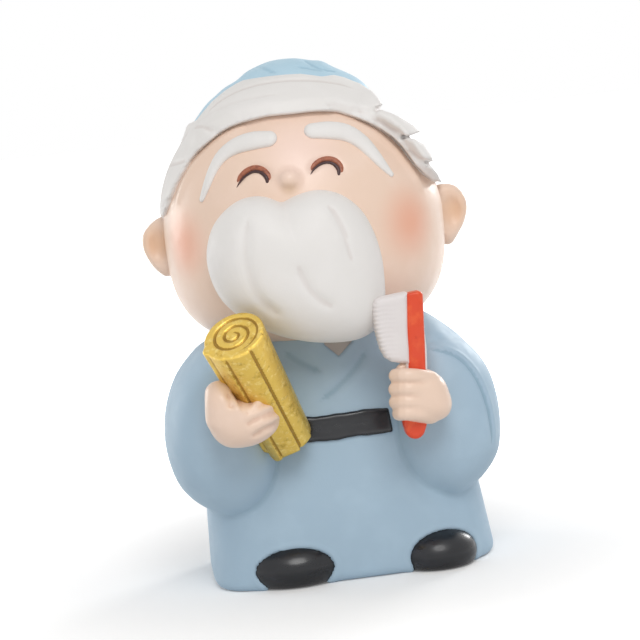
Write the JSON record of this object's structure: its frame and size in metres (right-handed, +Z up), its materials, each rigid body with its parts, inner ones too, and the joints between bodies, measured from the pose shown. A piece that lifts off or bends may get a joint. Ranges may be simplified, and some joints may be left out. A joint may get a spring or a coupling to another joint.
{
  "type": "resin sage statue",
  "caption": "Small cast figurine of an old man in a robe who holds a scroll and a toothbrush, made to stand on a shelf or desk",
  "frame": {"origin": "the middle of the hem's outline on the flat underside, on the floor", "axes": "+Z up, -Y the way that the robe's front faces, +X to the figure's left hand, which holds the toothbrush"},
  "size_m": [0.0662, 0.0692, 0.1006],
  "materials": {
    "robe_paint": "matte",
    "skin_paint": "satin",
    "hair_paint": "matte",
    "wrap_paint": "matte",
    "collar_paint": "matte",
    "eye_paint": "satin",
    "gold_paint": "satin",
    "brush_paint": "satin",
    "black_paint": "gloss"
  },
  "bodies": {
    "root": {"statue": "robe_paint"}
  },
  "joints": []
}
